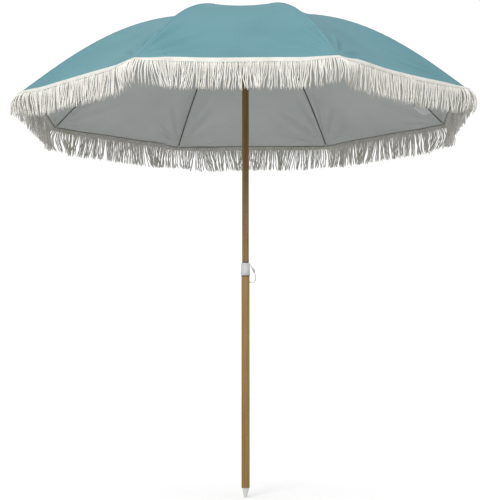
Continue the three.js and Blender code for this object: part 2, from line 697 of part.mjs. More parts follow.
for (let index = 0; index < RIB_COUNT; index += 1) {
  const arm = new THREE.Group();
  arm.rotation.z = ribAngle(index);
  umbrella.add(arm);
  const number = index + 1;
  addPiece(arm, `rib_inner_${number}`, innerRibGeometry, materials.steel);
  addPiece(arm, `rib_outer_${number}`, outerRibGeometry, materials.steel);
  addPiece(arm, `strut_${number}`, strutGeometry, materials.steel);
  addPiece(arm, `canopy_inner_${number}`, innerCloth, materials.cloth);
  addPiece(arm, `canopy_outer_${number}`, outerCloth, materials.cloth);
  addPiece(arm, `fringe_${number}`, fringeGeometry, materials.fringe);
}

export default umbrella;
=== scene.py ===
"""A beach umbrella.

A fringed eight-panel canopy stands on a two-part wood-look pole, with a clip lock and a ground spike.
"""

import math
import random

import bmesh
import bpy
from mathutils import Matrix, Vector, noise


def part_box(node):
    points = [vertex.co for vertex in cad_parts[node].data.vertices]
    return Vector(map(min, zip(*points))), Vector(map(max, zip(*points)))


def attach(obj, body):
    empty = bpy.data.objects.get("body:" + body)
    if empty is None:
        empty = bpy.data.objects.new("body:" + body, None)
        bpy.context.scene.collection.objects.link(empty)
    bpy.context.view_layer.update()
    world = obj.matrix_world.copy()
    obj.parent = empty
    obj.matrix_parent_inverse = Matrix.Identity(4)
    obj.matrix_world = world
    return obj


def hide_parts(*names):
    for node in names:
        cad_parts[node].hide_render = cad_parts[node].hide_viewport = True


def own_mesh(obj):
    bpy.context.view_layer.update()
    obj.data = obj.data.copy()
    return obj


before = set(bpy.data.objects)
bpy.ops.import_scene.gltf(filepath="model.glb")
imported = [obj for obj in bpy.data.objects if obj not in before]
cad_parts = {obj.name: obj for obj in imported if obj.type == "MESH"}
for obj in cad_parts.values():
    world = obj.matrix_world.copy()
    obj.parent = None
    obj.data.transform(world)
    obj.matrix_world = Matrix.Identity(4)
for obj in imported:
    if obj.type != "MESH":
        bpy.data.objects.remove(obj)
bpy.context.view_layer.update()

# ---- Sizes, in metres --------------------------------------------------------------------

RIBS = 8
STEP = math.tau / RIBS
SPIKE_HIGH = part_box("ground_spike")[1]
TUBE_LOW, TUBE_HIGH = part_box("lower_tube")
UPPER_LOW, UPPER_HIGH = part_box("upper_tube")
COLLAR_LOW, COLLAR_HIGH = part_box("pole_collar")

CANOPY_RADIUS = 0.900  # pole axis to a rib tip
CANOPY_RISE = 0.375
RIM_HEIGHT = 1.533
PROFILE = (-0.0317, 0.1051, -2.0782)  # first three terms of the rib's quartic curve
SAG_DEPTH = 0.038
SAG_POWER = 3.06
SCALLOP_DEPTH = 0.016
SCALLOP_START = 0.5
CLOTH_START = 0.014
CLOTH_THICKNESS = 0.0006
FLEX_RADIUS = 0.372  # the hinge line between a rib's inner and outer cloth

LOWER_RADIUS = TUBE_HIGH.x
UPPER_RADIUS = UPPER_HIGH.x
BAND_HEIGHT = 0.0215  # the fringe's braided heading
BAND_THICKNESS = 0.0016
STRAND_START = 0.003  # the strands begin this far down, on the band's inner face
STRAND_END = 0.116
STRAND_RADIUS = 0.0020
STRAND_PITCH = 0.0040
CLOSED_CLOTH = 0.21  # share of a cloth piece's width that is left when the canopy is shut
FOLD_ANGLE = 76.0  # how far the ribs turn, in degrees
FLEX_ANGLE = 21.222  # how far a rib's outer part turns back

rng = random.Random(7)


# ---- Camera ------------------------------------------------------------------------------

CAMERA_DISTANCE = 5.183
CAMERA_HEIGHT = 0.417
CAMERA_AZIMUTH = math.radians(2.13)
CAMERA_PITCH = math.radians(6.04)
CAMERA_YAW = math.radians(0.24)  # the pole stands a little right of the middle
LENS = 94.84


def make_camera():
    data = bpy.data.cameras.new("camera")
    data.lens = LENS
    data.sensor_width = 36
    camera = bpy.data.objects.new("camera", data)
    bpy.context.scene.collection.objects.link(camera)
    camera.location = (
        CAMERA_DISTANCE * math.sin(CAMERA_AZIMUTH),
        -CAMERA_DISTANCE * math.cos(CAMERA_AZIMUTH),
        CAMERA_HEIGHT,
    )
    camera.rotation_euler = (math.pi / 2 + CAMERA_PITCH, 0, CAMERA_AZIMUTH + CAMERA_YAW)
    bpy.context.scene.camera = camera


make_camera()


# ---- Materials ---------------------------------------------------------------------------


class Nodes:
    """A material's node tree, with short calls for the nodes that the finishes share."""

    def __init__(self, name, roughness, metallic=0.0):
        self.material = bpy.data.materials.new(name)
        self.material.use_nodes = True
        self.tree = self.material.node_tree
        self.shader = self.tree.nodes["Principled BSDF"]
        self.shader.inputs["Roughness"].default_value = roughness
        self.shader.inputs["Metallic"].default_value = metallic
        self.place = self.tree.nodes.new("ShaderNodeTexCoord").outputs["Object"]

    def link(self, source, target):
        self.tree.links.new(source, target)

    def uv(self, name):
        node = self.tree.nodes.new("ShaderNodeUVMap")
        node.uv_map = name
        return node.outputs["UV"]

    def mapped(self, vector, scale):
        node = self.tree.nodes.new("ShaderNodeMapping")
        self.link(vector, node.inputs["Vector"])
        node.inputs["Scale"].default_value = scale
        return node.outputs["Vector"]

    def noise(self, vector, scale, detail=3.0, distortion=0.0):
        node = self.tree.nodes.new("ShaderNodeTexNoise")
        self.link(vector, node.inputs["Vector"])
        node.inputs["Scale"].default_value = scale
        node.inputs["Detail"].default_value = detail
        node.inputs["Distortion"].default_value = distortion
        return node.outputs["Fac"]

    def wave(self, vector, scale, direction="X", distortion=0.0):
        node = self.tree.nodes.new("ShaderNodeTexWave")
        node.bands_direction = direction
        self.link(vector, node.inputs["Vector"])
        node.inputs["Scale"].default_value = scale
        node.inputs["Distortion"].default_value = distortion
        node.inputs["Detail Scale"].default_value = 1.0
        return node.outputs["Fac"]

    def math(self, operation, first, second):
        node = self.tree.nodes.new("ShaderNodeMath")
        node.operation = operation
        for socket, value in zip(node.inputs, (first, second)):
            if isinstance(value, (int, float)):
                socket.default_value = value
            else:
                self.link(value, socket)
        return node.outputs["Value"]

    def axis(self, vector, name):
        node = self.tree.nodes.new("ShaderNodeSeparateXYZ")
        self.link(vector, node.inputs["Vector"])
        return node.outputs[name]

    def ramp(self, factor, *stops):
        node = self.tree.nodes.new("ShaderNodeValToRGB")
        self.link(factor, node.inputs["Fac"])
        elements = node.color_ramp.elements
        while len(elements) < len(stops):
            elements.new(0.5)
        for element, (position, color) in zip(elements, stops):
            element.position = position
            element.color = (*color, 1)
        return node.outputs["Color"]

    def mix(self, factor, first, second):
        node = self.tree.nodes.new("ShaderNodeMix")
        node.data_type = "RGBA"
        for name, value in (("Factor", factor), ("A", first), ("B", second)):
            socket = next(s for s in node.inputs if s.name == name and s.enabled)
            if isinstance(value, (int, float)):
                socket.default_value = value
            elif isinstance(value, tuple):
                socket.default_value = (*value, 1)
            else:
                self.link(value, socket)
        return next(s for s in node.outputs if s.enabled)

    def bump(self, height, distance, strength=1.0, before=None):
        node = self.tree.nodes.new("ShaderNodeBump")
        node.inputs["Distance"].default_value = distance
        node.inputs["Strength"].default_value = strength
        self.link(height, node.inputs["Height"])
        if before is not None:
            self.link(before, node.inputs["Normal"])
        return node.outputs["Normal"]

    def finish(self, color, normal, roughness=None):
        self.link(color, self.shader.inputs["Base Color"])
        self.link(normal, self.shader.inputs["Normal"])
        if roughness is not None:
            self.link(roughness, self.shader.inputs["Roughness"])
        return self.material


THREAD_PITCH = 0.0008
STITCH_PITCH = 0.0034
STITCH_HALF_WIDTH = 0.0005
PLY_PITCH = 0.0036  # of a strand's twist
BRAID_PITCH = 0.0044


def band_scale(pitch):
    """A wave texture's scale for bands at that pitch, which are tau/20 units wide at a scale of 1."""
    return math.tau / (pitch * 20)


def woven_height(nodes, flat):
    """Two crossed sets of threads."""
    warp = nodes.wave(flat, band_scale(THREAD_PITCH), "X")
    weft = nodes.wave(flat, band_scale(THREAD_PITCH), "Y")
    return nodes.math("MAXIMUM", warp, weft)


def canopy_cloth(name, dark, light, roughness, crease=0.35):
    """Plain-weave polyester with slubs, faint creases and a slightly uneven dye."""
    nodes = Nodes(name, roughness)
    flat = nodes.uv("flat")
    patches = nodes.noise(nodes.place, 3.5, 4.0)
    slubs = nodes.noise(nodes.mapped(flat, (60, 900, 1)), 1.0, 2.0)
    color = nodes.ramp(patches, (0.3, dark), (0.7, light))
    slub_color = tuple(0.8 * value for value in dark)
    color = nodes.mix(nodes.math("MULTIPLY", slubs, 0.22), color, slub_color)
    creases = nodes.noise(nodes.mapped(nodes.place, (1, 1, 1.6)), 6.0, 6.0, 0.8)
    normal = nodes.bump(woven_height(nodes, flat), 0.0002, 0.35)
    normal = nodes.bump(creases, 0.006, crease, normal)
    nodes.shader.inputs["Specular IOR Level"].default_value = 0.3
    return nodes.finish(color, normal)


def stitched_tape(name, dark, light, thread, row):
    """A woven tape with two rows of stitches, each that far from its middle.

    A row that is farther out than the tape's edge leaves it without stitches.
    """
    nodes = Nodes(name, 0.8)
    flat = nodes.uv("flat")
    color = nodes.ramp(nodes.noise(nodes.place, 30.0, 3.0), (0.3, dark), (0.7, light))
    across = nodes.math("ABSOLUTE", nodes.axis(flat, "Y"), 0.0)
    from_row = nodes.math("ABSOLUTE", nodes.math("SUBTRACT", across, row), 0.0)
    stitch = nodes.math("GREATER_THAN", nodes.wave(flat, band_scale(STITCH_PITCH), "X"), 0.25)
    stitches = nodes.math("MULTIPLY", nodes.math("LESS_THAN", from_row, STITCH_HALF_WIDTH), stitch)
    color = nodes.mix(stitches, color, thread)
    normal = nodes.bump(woven_height(nodes, flat), 0.0002, 0.3)
    normal = nodes.bump(stitches, 0.0005, 0.8, normal)
    nodes.shader.inputs["Specular IOR Level"].default_value = 0.3
    return nodes.finish(color, normal)


def cotton(name, uv, pitch, slant, dark, light):
    """Twisted cotton: slanted plies, soft fibres and a little shade between them."""
    nodes = Nodes(name, 0.92)
    flat = nodes.mapped(nodes.uv(uv), (1, pitch * slant, 1))
    plies = nodes.wave(flat, band_scale(pitch), "DIAGONAL" if slant else "X", 0.4)
    fibres = nodes.noise(nodes.place, 900.0, 2.0)
    tone = nodes.noise(nodes.place, 26.0, 3.0)
    color = nodes.ramp(tone, (0.3, dark), (0.65, light))
    shade = nodes.math("MULTIPLY", nodes.math("SUBTRACT", 1.0, plies), 0.24)
    color = nodes.mix(shade, color, (0.56, 0.53, 0.46))
    normal = nodes.bump(plies, 0.0008, 0.6)
    normal = nodes.bump(fibres, 0.0003, 0.3, normal)
    nodes.shader.inputs["Specular IOR Level"].default_value = 0.2
    return nodes.finish(color, normal)


def wood_look(name):
    """Printed wood grain under a satin lacquer, along the pole."""
    nodes = Nodes(name, 0.42)
    long_grain = nodes.noise(nodes.mapped(nodes.place, (150, 150, 2.2)), 1.0, 5.0, 0.8)
    fine_grain = nodes.noise(nodes.mapped(nodes.place, (900, 900, 14)), 1.0, 3.0)
    patches = nodes.noise(nodes.mapped(nodes.place, (26, 26, 4)), 1.0, 2.0)
    color = nodes.ramp(
        long_grain,
        (0.30, (0.110, 0.055, 0.017)),
        (0.44, (0.255, 0.140, 0.041)),
        (0.55, (0.345, 0.212, 0.064)),
        (0.66, (0.200, 0.104, 0.034)),
        (0.78, (0.320, 0.190, 0.056)),
    )
    color = nodes.mix(nodes.math("MULTIPLY", fine_grain, 0.45), color, (0.10, 0.052, 0.017))
    color = nodes.mix(nodes.math("MULTIPLY", patches, 0.40), color, (0.38, 0.235, 0.062))
    rough = nodes.math("ADD", nodes.math("MULTIPLY", fine_grain, 0.2), 0.33)
    nodes.shader.inputs["Specular IOR Level"].default_value = 0.35
    nodes.shader.inputs["Coat Weight"].default_value = 0.08
    nodes.shader.inputs["Coat Roughness"].default_value = 0.25
    return nodes.finish(color, nodes.bump(fine_grain, 0.0002, 0.25), rough)


def moulded_plastic(name, base):
    nodes = Nodes(name, 0.38)
    cloud = nodes.noise(nodes.place, 40.0, 3.0)
    grain = nodes.noise(nodes.place, 1400.0, 2.0)
    worn = tuple(value * 0.86 for value in base)
    color = nodes.ramp(cloud, (0.35, worn), (0.6, base))
    rough = nodes.math("ADD", nodes.math("MULTIPLY", cloud, 0.18), 0.3)
    return nodes.finish(color, nodes.bump(grain, 0.0001, 0.25), rough)


def metal(name, dark, light, roughness, metallic):
    nodes = Nodes(name, roughness, metallic)
    patina = nodes.noise(nodes.place, 60.0, 4.0)
    scratches = nodes.noise(nodes.mapped(nodes.place, (300, 300, 60)), 1.0, 3.0)
    color = nodes.ramp(patina, (0.35, dark), (0.65, light))
    rough = nodes.math("ADD", nodes.math("MULTIPLY", scratches, 0.25), roughness - 0.12)
    return nodes.finish(color, nodes.bump(scratches, 0.0001, 0.2), rough)


OUTSIDE_DARK = (0.097, 0.226, 0.258)
OUTSIDE_LIGHT = (0.122, 0.268, 0.302)
INSIDE_DARK = (0.59, 0.625, 0.61)
INSIDE_LIGHT = (0.70, 0.735, 0.72)
HEM_DARK = (0.22, 0.225, 0.22)
HEM_LIGHT = (0.29, 0.295, 0.285)
HEM_THREAD = (0.5, 0.5, 0.5)
SEAM_THREAD = (0.16, 0.33, 0.37)
SEAM_ROW = 0.0030  # a row of stitches to the seam's middle
NO_ROW = 0.5  # a hem's stitches don't show
STRAND_DARK = (0.70, 0.685, 0.63)
STRAND_LIGHT = (0.83, 0.82, 0.78)
BRAID_DARK = (0.57, 0.565, 0.53)
BRAID_LIGHT = (0.68, 0.675, 0.645)
STEEL_DARK = (0.52, 0.53, 0.52)
STEEL_LIGHT = (0.70, 0.70, 0.69)

MATERIALS = {
    "cloth_outside": canopy_cloth("cloth_outside", OUTSIDE_DARK, OUTSIDE_LIGHT, 0.8),
    "cloth_inside": canopy_cloth("cloth_inside", INSIDE_DARK, INSIDE_LIGHT, 0.55, 0.6),
    "seam_tape": stitched_tape("seam_tape", OUTSIDE_DARK, OUTSIDE_LIGHT, SEAM_THREAD, SEAM_ROW),
    "hem_binding": stitched_tape("hem_binding", HEM_DARK, HEM_LIGHT, HEM_THREAD, NO_ROW),
    "care_label": canopy_cloth("care_label", (0.84, 0.85, 0.86), (0.90, 0.91, 0.92), 0.6, 0.1),
    "dark_tag": canopy_cloth("dark_tag", (0.16, 0.16, 0.165), (0.22, 0.22, 0.225), 0.6, 0.1),
    "fringe_cotton": cotton("fringe_cotton", "twist", PLY_PITCH, 1.0, STRAND_DARK, STRAND_LIGHT),
    "fringe_braid": cotton("fringe_braid", "flat", BRAID_PITCH, 0.0, BRAID_DARK, BRAID_LIGHT),
    "wood_look": wood_look("wood_look"),
    "white_plastic": moulded_plastic("white_plastic", (0.57, 0.575, 0.575)),
    "spike_plastic": moulded_plastic("spike_plastic", (0.80, 0.78, 0.755)),
    # dark brown for the bands of painted shade beside the collar
    "painted_collar_shade": moulded_plastic("painted_collar_shade", (0.115, 0.078, 0.040)),
    "rib_steel": metal("rib_steel", (0.028, 0.029, 0.029), (0.050, 0.051, 0.050), 0.42, 0.6),
    "bright_steel": metal("bright_steel", STEEL_DARK, STEEL_LIGHT, 0.3, 0.9),
}


# ---- Piece helpers -----------------------------------------------------------------------


def add_piece(name, bm, body, *finishes, node=None, smooth_angle=None):
    """Makes the bmesh a piece that rides on a body, and hides the CAD node that it stands for."""
    mesh = bpy.data.meshes.new(name)
    bm.to_mesh(mesh)
    bm.free()
    for finish in finishes:
        mesh.materials.append(MATERIALS[finish])
    piece = bpy.data.objects.new(name, mesh)
    bpy.context.scene.collection.objects.link(piece)
    for polygon in mesh.polygons:
        polygon.use_smooth = True
    if smooth_angle is not None:
        mesh.set_sharp_from_angle(angle=math.radians(smooth_angle))
    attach(piece, body)
    if node is not None:
        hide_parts(node)
    return piece


TURNED_STEPS = 64


def turned(bm, outline):
    """Spins an outline of (radius, height) points round the pole's axis into a closed solid."""
    verts = [bm.verts.new((radius, 0, height)) for radius, height in outline]
    edges = [bm.edges.new(pair) for pair in zip(verts, verts[1:])]
    bmesh.ops.spin(
        bm,
        geom=verts + edges,
        cent=(0, 0, 0),
        axis=(0, 0, 1),
        angle=math.tau,
        steps=TURNED_STEPS,
        use_merge=True,
    )
    bmesh.ops.remove_doubles(bm, verts=bm.verts, dist=MERGE_DISTANCE)
    bmesh.ops.recalc_face_normals(bm, faces=bm.faces)


def turned_piece(name, outline, body, finish, node=None, smooth_angle=35):
    bm = bmesh.new()
    turned(bm, outline)
    return add_piece(name, bm, body, finish, node=node, smooth_angle=smooth_angle)


def arc(cx, cz, radius, first, last, count=5):
    """Points on an arc in the (radius, height) plane, with angles in degrees."""
    steps = [math.radians(first + (last - first) * i / (count - 1)) for i in range(count)]
    return [(cx + radius * math.cos(a), cz + radius * math.sin(a)) for a in steps]


MERGE_DISTANCE = 1e-6
SHARP_ANGLE = math.radians(35)


def refined_copy(node, body, finish, bevel=0.0, smooth_angle=30, dissolve=True):
    """A merged copy of a CAD node with soft edges, which stands for it."""
    bm = bmesh.new()
    bm.from_mesh(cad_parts[node].data)
    bmesh.ops.remove_doubles(bm, verts=bm.verts, dist=MERGE_DISTANCE)
    if dissolve:
        bmesh.ops.dissolve_limit(bm, angle_limit=math.radians(1), verts=bm.verts, edges=bm.edges)
    if bevel:
        sharp = [e for e in bm.edges if e.is_manifold and e.calc_face_angle() > SHARP_ANGLE]
        bmesh.ops.bevel(
            bm, geom=sharp, offset=bevel, segments=2, profile=0.5, affect="EDGES", material=-1
        )
    return add_piece(f"{node}_finished", bm, body, finish, node=node, smooth_angle=smooth_angle)


def rib_angle(index):
    return -math.pi / 2 + STEP / 2 + index * STEP


def rib_axes(index):
    """The rib's outward direction and the direction across it."""
    angle = rib_angle(index)
    outward = Vector((math.cos(angle), math.sin(angle), 0))
    return outward, Vector((-outward.y, outward.x, 0))


# ---- Canopy surface ----------------------------------------------------------------------


def rib_share(u):
    a, b, c = PROFILE
    d = -1 - a - b - c
    return 1 + u * (a + u * (b + u * (c + u * d)))


def sag(u):
    peak = SAG_POWER / (1 + SAG_POWER)
    scale = peak**SAG_POWER * (1 - peak)
    return SAG_DEPTH * max(u, 0) ** SAG_POWER * (1 - u) / scale


TIP_WRINKLES = 0.0055
TIP_FOLDS = 17.0
TIP_REACH = 0.13  # the folds are deepest this far from a rib's tip
TIP_SPREAD = 0.10
TIP_CALM = 0.09  # nearer to the tip they die out
RIB_CALM = 0.02
SEAM_PUCKER = 0.0007
PUCKER_COUNT = 190
PUCKER_FADE = 0.012
PUCKER_START = 0.004
LOOSE_CLOTH = 0.0030
FOLD_CREASE = 0.0010
CREASE_WIDTH = 0.0035


def tip_wrinkle(u, side, phase):
    """Folds that fan out from a rib's tip. side is the share of a panel's width from that rib."""
    along = CANOPY_RADIUS * (1 - u)
    across = CANOPY_RADIUS * u * math.sin(STEP) * side
    far = math.hypot(along, across)
    angle = math.atan2(across, along)
    fan = math.sin(angle * TIP_FOLDS + phase)
    fan += 0.5 * math.sin(angle * TIP_FOLDS * 1.7 + 2 * phase)
    near_rib = min(1.0, across / RIB_CALM)
    fade = max(0.0, 1 - (2 * side) ** 2) ** 2 * min(1.0, far / TIP_CALM) ** 2
    return TIP_WRINKLES * fan * near_rib * fade * math.exp(-(((far - TIP_REACH) / TIP_SPREAD) ** 2))


def ripple(u, s, panel, x, y):
    """The small folds of the cloth, as a height."""
    height = tip_wrinkle(u, s, panel * 1.7) + tip_wrinkle(u, 1 - s, panel * 2.3 + 1)
    bow = 4 * s * (1 - s)
    slack = noise.noise(Vector((x * 3.1 + 7, y * 3.1, 2.0)))
    slack += 0.5 * noise.noise(Vector((x * 8, y * 8 + 3, 5.0)))
    height += LOOSE_CLOTH * slack * bow * min(1.0, 4 * u * (1 - u))
    width = u * CANOPY_RADIUS * math.sin(STEP)
    nearest = min(s, 1 - s) * width
    pucker = SEAM_PUCKER * math.sin(u * PUCKER_COUNT + panel) * math.exp(-nearest / PUCKER_FADE)
    height += pucker * min(1.0, nearest / PUCKER_START)
    crease = FOLD_CREASE * math.exp(-(((s - 0.5) * width / CREASE_WIDTH) ** 2))
    height += crease * min(1.0, max(0.0, 3 * u - 1))
    return height


def canopy_point(u, a):
    """A point of the cloth's outer face. u is 0 at the pole and 1 at the rim; a counts ribs."""
    panel = math.floor(a)
    s = a - panel
    bow = 4 * s * (1 - s)
    late = max(0.0, (u - SCALLOP_START) / (1 - SCALLOP_START))
    radius = CANOPY_RADIUS * u - SCALLOP_DEPTH * bow * late**2
    first, second = rib_angle(panel), rib_angle(panel + 1)
    x = radius * ((1 - s) * math.cos(first) + s * math.cos(second))
    y = radius * ((1 - s) * math.sin(first) + s * math.sin(second))
    z = RIM_HEIGHT + CANOPY_RISE * rib_share(u) - sag(u) * bow
    return Vector((x, y, z + ripple(u, s, panel % RIBS, x, y)))


NUDGE_OUT = 0.002
NUDGE_ALONG = 0.004


def canopy_normal(u, a):
    du = canopy_point(u + NUDGE_OUT, a) - canopy_point(u - NUDGE_OUT, a)
    da = canopy_point(u, a + NUDGE_ALONG) - canopy_point(u, a - NUDGE_ALONG)
    return du.cross(da).normalized()


def share_at_line(x, t):
    """u where a line across the rib, x from the pole, meets the share t of a panel's width."""
    return x / (CANOPY_RADIUS * (1 - abs(t) * (1 - math.cos(STEP))))


def lay_sheet(bm, place, thickness):
    """Lays a flat grid along a surface, gives it a second face below and closes its edges.
    place turns the grid's two shares into a point, its normal and its place on the flat cloth.
    Returns the normal of each vertex."""
    flat = bm.loops.layers.uv.new("flat")
    spots = {vert: place(vert.co.x + 0.5, vert.co.y + 0.5) for vert in bm.verts}
    copy = bmesh.ops.duplicate(bm, geom=bm.verts[:] + bm.edges[:] + bm.faces[:])
    twin = copy["vert_map"]
    lower_faces = [item for item in copy["geom"] if isinstance(item, bmesh.types.BMFace)]
    bmesh.ops.reverse_faces(bm, faces=lower_faces)
    for face in lower_faces:
        face.material_index = 1
    normals = {}
    local = {}
    for vert, (point, normal, spot) in spots.items():
        vert.co = point
        twin[vert].co = point - normal * thickness
        normals[vert] = normal
        normals[twin[vert]] = -normal
        local[vert] = local[twin[vert]] = spot
    bmesh.ops.bridge_loops(bm, edges=[edge for edge in bm.edges if edge.is_boundary])
    for face in bm.faces:
        for loop in face.loops:
            loop[flat].uv = local[loop.vert]
    bm.verts.index_update()
    ordered = sorted(bm.verts, key=lambda vert: vert.index)
    return [tuple(normals[vert]) for vert in ordered]


def grid(rows, columns):
    bm = bmesh.new()
    bmesh.ops.create_grid(bm, x_segments=rows, y_segments=columns, size=0.5)
    return bm


def canopy_sheet(
    name, rows, columns, to_surface, body, finishes, lift=0.0, thickness=CLOTH_THICKNESS, node=None
):
    """A sheet on the canopy, where to_surface gives its u and a."""
    bm = grid(rows, columns)

    def place(along, across):
        u, a = to_surface(along, across)
        normal = canopy_normal(u, a)
        lateral = (a - round(a)) * u * CANOPY_RADIUS * math.sin(STEP)
        return canopy_point(u, a) + normal * lift, normal, (u * CANOPY_RADIUS, lateral)

    normals = lay_sheet(bm, place, thickness)
    piece = add_piece(name, bm, body, *finishes, node=node)
    piece.data.normals_split_custom_set_from_vertices(normals)
    return piece


def flatten_with_fold(piece):
    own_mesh(piece)


def closer_at_ends(share):
    """Spreads a piece's columns so that they lie closest at its middle and at its two edges."""
    half = share * 2 % 1 if share < 1 else 1.0
    eased = half - 0.8 * math.sin(math.tau * half) / math.tau
    return (math.floor(share * 2) if share < 1 else 1) / 2 + eased / 2 - 0.5


def gore(name, index, start, end, rows, columns, body, node):
    """Cloth of two half panels beside a rib, from one line across the rib to the next or the rim."""

    def to_surface(along, across):
        t = closer_at_ends(across)
        first = share_at_line(start, t)
        last = share_at_line(end, t) if end is not None else 1.0
        return first + (last - first) * along, index + t

    finishes = ("cloth_outside", "cloth_inside")
    piece = canopy_sheet(name, rows, columns, to_surface, body, finishes, node=node)
    flatten_with_fold(piece)
    return piece


SEAM_WIDTH = 0.0095
SEAM_THICKNESS = 0.0005
SEAM_START = 0.03
SEAM_END = 0.999
HEM_START = 0.9968
HEM_SHARE = 0.0035
HEM_THICKNESS = 0.0008
HEM_GAP = 0.0001
LABEL_THICKNESS = 0.0005
LABEL_GAP = 0.0003
LABEL_RIB = 2  # the labels are sewn beside this rib, counted from 0
# name, finish, the share of the way to the rim at which it starts and which it covers, and the
# same as shares of the panel's width from the rib
LABELS = (
    ("care_label", "care_label", 0.885, 0.052, 0.008, 0.072),
    ("size_tag", "dark_tag", 0.842, 0.042, 0.014, 0.052),
)


def seam(name, index, first, last, rows, body):
    """The felled seam that joins two panels over a rib."""

    def to_surface(along, across):
        u = first + (last - first) * along
        return u, index + (across - 0.5) * SEAM_WIDTH / (CANOPY_RADIUS * u * math.sin(STEP))

    finishes = ("seam_tape", "seam_tape")
    thickness = SEAM_THICKNESS - 0.0001
    piece = canopy_sheet(name, rows, 5, to_surface, body, finishes, SEAM_THICKNESS, thickness)
    flatten_with_fold(piece)
    return piece


def hem(index):
    def to_surface(along, across):
        return HEM_START + HEM_SHARE * along, index + across - 0.5

    name, body = f"hem_{index + 1}", f"rib_end_{index + 1}"
    finishes = ("hem_binding", "hem_binding")
    lift = -CLOTH_THICKNESS - HEM_GAP
    piece = canopy_sheet(name, 3, 64, to_surface, body, finishes, lift, HEM_THICKNESS)
    flatten_with_fold(piece)
    return piece


def care_labels():
    """The blank label and tag that are sewn to the inside of one panel, beside a rib."""
    labels = []
    for name, finish, start, reach, side, width in LABELS:

        def to_surface(along, across, start=start, reach=reach, side=side, width=width):
            return start + reach * along, LABEL_RIB + side + width * across

        lift = -CLOTH_THICKNESS - LABEL_GAP
        body = f"rib_end_{LABEL_RIB + 1}"
        piece = canopy_sheet(
            name, 8, 12, to_surface, body, (finish, finish), lift, LABEL_THICKNESS
        )
        flatten_with_fold(piece)
        labels.append(piece)
    return labels


def canopy_pieces():
    flex = FLEX_RADIUS / CANOPY_RADIUS
    labels = care_labels()
    for index in range(RIBS):
        number = index + 1
        arm, end = f"rib_{number}", f"rib_end_{number}"
        top_name, top_node = f"canopy_top_{number}", f"canopy_inner_{number}"
        top = gore(top_name, index, CLOTH_START, FLEX_RADIUS, 24, 48, arm, top_node)
        skirt_name, skirt_node = f"canopy_skirt_{number}", f"canopy_outer_{number}"
        skirt = gore(skirt_name, index, FLEX_RADIUS, None, 60, 96, end, skirt_node)
        top_seam = seam(f"seam_top_{number}", index, SEAM_START, flex, 24, arm)
        skirt_seam = seam(f"seam_skirt_{number}", index, flex, SEAM_END, 60, end)
        trim = [skirt_seam, hem(index), *edge_pieces(index)]
        if index == LABEL_RIB:
            trim += labels


# ---- Fringe: a braided heading band and its strands ----------------------------------------

# The drape turns down in an arc: the slope it starts with, the slope it ends with, and the
# length in which it turns. At a corner the fringe stands out and its ends curl back in.
DRAPE_MIDDLE = (math.radians(38), math.radians(91), 0.026)
DRAPE_CORNER = (math.radians(18), math.radians(132), 0.118)


def drape(far, arc_of_fall):
    """How far out and down the drape is, at that length from the cloth's edge."""
    first, last, turn = arc_of_fall
    rate = (last - first) / turn
    bent = min(far, turn)
    rest = far - bent
    out = (math.sin(first + rate * bent) - math.sin(first)) / rate + rest * math.cos(last)
    down = (math.cos(first) - math.cos(first + rate * bent)) / rate + rest * math.sin(last)
    return out, down


EDGE_NUDGE = 0.004
CORNER_TURN = 0.95  # how fully the fringe at a corner points along its rib


def edge_frame(a):
    """The cloth's edge at a: its point, the way out, the way along, and the fringe's arc there."""
    panel = min(math.floor(a), math.ceil(a) - 1) if a > round(a) - 1e-9 else math.floor(a)
    before = max(panel, a - EDGE_NUDGE)
    after = min(panel + 1, a + EDGE_NUDGE)
    ahead = canopy_point(1.0, after - 1e-6) - canopy_point(1.0, before + 1e-6)
    ahead.z = 0
    ahead.normalize()
    out = Vector((ahead.y, -ahead.x, 0))
    rib = round(a)
    share = abs(a - rib) * 2
    blend = CORNER_TURN * max(0.0, 1 - share * 4) ** 1.5
    out = (out * (1 - blend) + rib_axes(rib)[0] * blend).normalized()
    corner = max(0.0, 1 - share * 2.6) ** 1.6
    ends = zip(DRAPE_MIDDLE, DRAPE_CORNER)
    fall = tuple(middle + (end - middle) * corner for middle, end in ends)
    return canopy_point(1.0, a), out, Vector((-out.y, out.x, 0)), fall


BRAID_RELIEF = 0.0007
BAND_GATHER = 0.001  # this much of the band's height is gathered at the cloth's edge
BAND_LIFT = 0.0016
PICOT = 0.0008
HALF_EDGE = CANOPY_RADIUS * math.sin(STEP / 2)


def half_name(side):
    return "right" if side > 0 else "left"


def fringe_band(index, side):
    """Half an edge of the braided band: a herringbone of plaited cotton with a picot edge."""
    bm = grid(12, 330)

    def place(along, across):
        across = across if side > 0 else 1 - across
        a = index + side * 0.5 * across
        point, out, ahead, fall = edge_frame(a)
        far = BAND_HEIGHT * along - BAND_GATHER
        reach, down = drape(max(0.0, far), fall)
        first, last, turn = fall
        slope = first + (last - first) * min(1.0, max(0.0, far) / turn)
        normal = out * math.sin(slope) + Vector((0, 0, math.cos(slope)))
        run = across * HALF_EDGE
        chevron = abs(along - 0.55) * 2.6
        plait = abs(math.sin(math.pi * (run / BRAID_PITCH + chevron)))
        rib_line = 1.0 if 0.1 < along < 0.9 else 0.55
        relief = BRAID_RELIEF * (plait**0.6 * rib_line - 0.5)
        picot = PICOT * plait if along < 0.01 else 0.0
        spot = point + out * reach - Vector((0, 0, down)) + normal * (BAND_LIFT + relief)
        spot += Vector((0, 0, picot)) - out * picot
        return spot, normal, (run, far)

    lay_sheet(bm, place, BAND_THICKNESS)
    bmesh.ops.recalc_face_normals(bm, faces=bm.faces)
    name = f"fringe_band_{half_name(side)}_{index + 1}"
    return add_piece(name, bm, f"fringe_{index + 1}", "fringe_braid", "fringe_braid")


